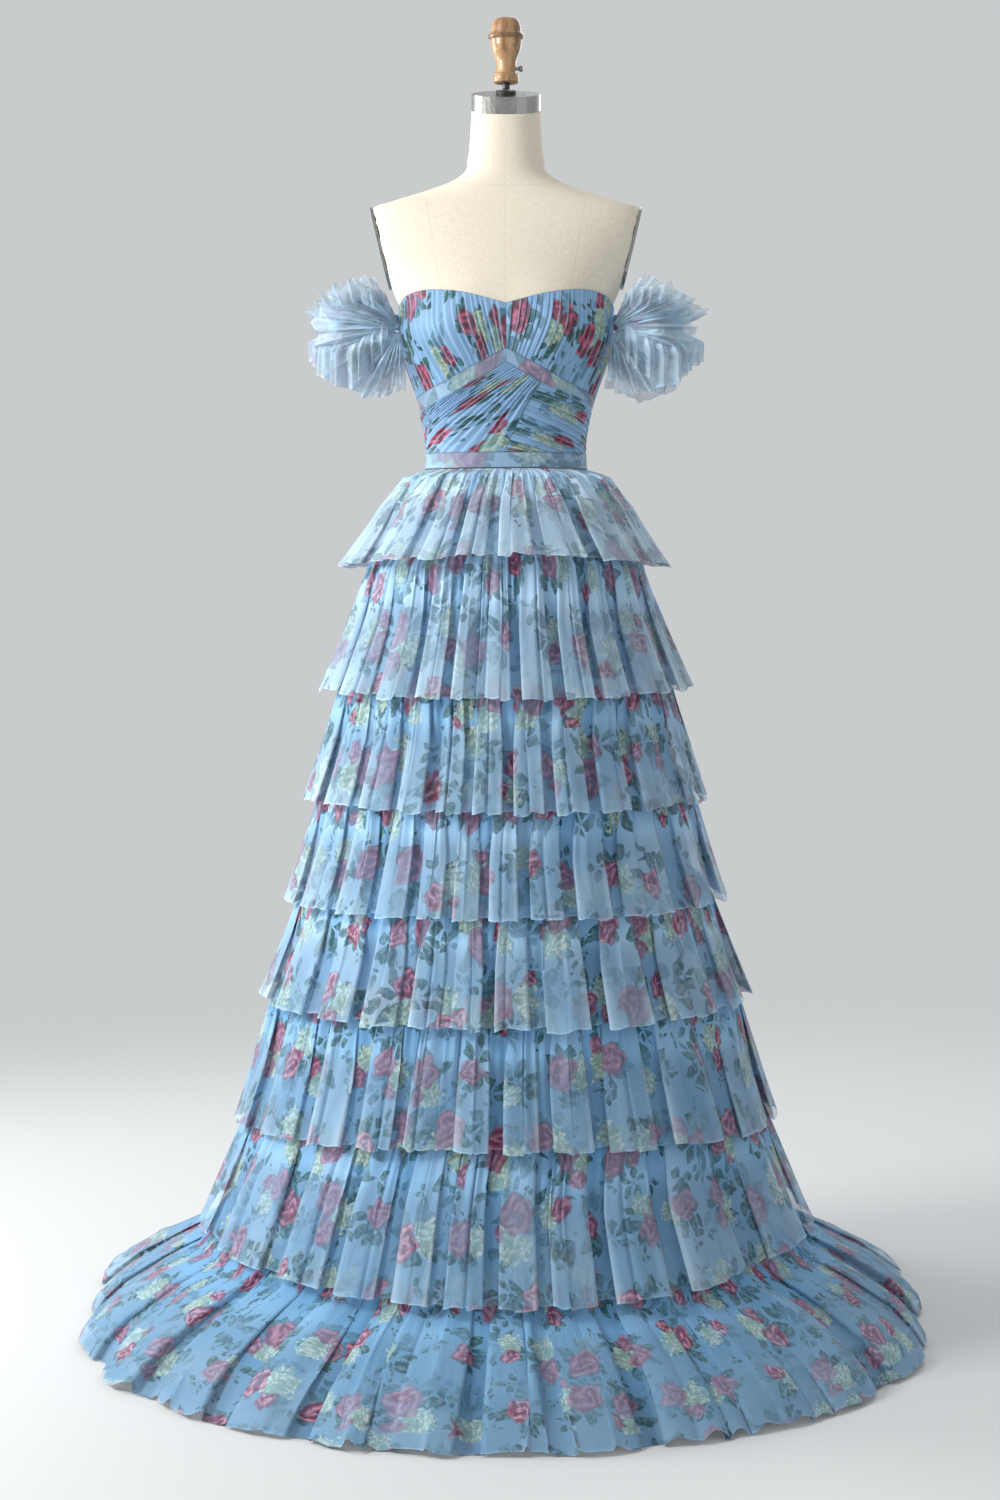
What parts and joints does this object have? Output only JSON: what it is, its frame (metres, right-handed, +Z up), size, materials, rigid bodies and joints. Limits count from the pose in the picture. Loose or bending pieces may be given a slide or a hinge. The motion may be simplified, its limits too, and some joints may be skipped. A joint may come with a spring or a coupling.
{
  "type": "a-line prom dress on a dress form with a stand",
  "caption": "Floor-length a-line prom dress with ruffled tiers, pleated sweetheart bodice and off-shoulder ruffle sleeves, on a limbless dress form and stand.",
  "frame": {"origin": "on the floor under the stand's pole, at the middle of the base's flat foot", "axes": "+Z up, the dress faces -Y, +X to the right of a viewer who faces it; the train runs towards +Y"},
  "size_m": [1.2075, 1.496, 1.8146],
  "materials": {
    "printed_tulle": "sheer light blue tulle with a printed rose and leaf pattern",
    "lining": "plain opaque mid-blue satin lining",
    "pleated_chiffon": "printed blue tulle drawn into fine pleats over an opaque backing",
    "ivory_linen": "ivory linen, stretched smooth",
    "brushed_steel": "brushed",
    "black_paint": "satin black",
    "turned_wood": "turned, clear varnish",
    "zip_enamel": "blue enamel"
  },
  "bodies": {
    "dress_on_form": {"tier_1": "printed_tulle", "tier_2": "printed_tulle", "tier_3": "printed_tulle", "tier_4": "printed_tulle", "tier_5": "printed_tulle", "tier_6": "printed_tulle", "tier_7": "printed_tulle", "tier_8": "printed_tulle", "waistband": "printed_tulle", "sleeve_left_loop": "printed_tulle", "sleeve_left_upper": "printed_tulle", "sleeve_left_lower": "printed_tulle", "sleeve_right_loop": "printed_tulle", "sleeve_right_upper": "printed_tulle", "sleeve_right_lower": "printed_tulle", "cup_left": "pleated_chiffon", "cup_right": "pleated_chiffon", "underbust_band_left": "pleated_chiffon", "underbust_band_right": "pleated_chiffon", "midriff_over": "pleated_chiffon", "midriff_under": "pleated_chiffon", "back_left": "pleated_chiffon", "back_right": "pleated_chiffon", "underskirt": "lining", "form_torso": "ivory_linen", "neck_cap": "brushed_steel", "arm_plate_left": "brushed_steel", "arm_plate_right": "brushed_steel", "neck_collar": "black_paint", "neck_rod": "black_paint", "stand_pole": "black_paint", "stand_base": "black_paint", "zip_slider": "zip_enamel"},
    "finial": {"finial": "turned_wood"},
    "thumb_screw": {"thumb_screw": "brushed_steel"},
    "zip_pull": {"zip_pull": "zip_enamel"}
  },
  "joints": [
    {"name": "finial_turn", "type": "hinge", "parent": "dress_on_form", "child": "finial", "pos_m": [0, -0.00704, 1.74], "axis": [0, 0, 1], "continuous": true},
    {"name": "screw_turn", "type": "hinge", "parent": "finial", "child": "thumb_screw", "pos_m": [0, -0.00704, 1.746], "axis": [1, 0, 0], "continuous": true},
    {"name": "zip_pull_swing", "type": "hinge", "parent": "dress_on_form", "child": "zip_pull", "pos_m": [0, 0.094, 1.3865], "axis": [1, 0, 0], "range_deg": [0, 170]}
  ]
}
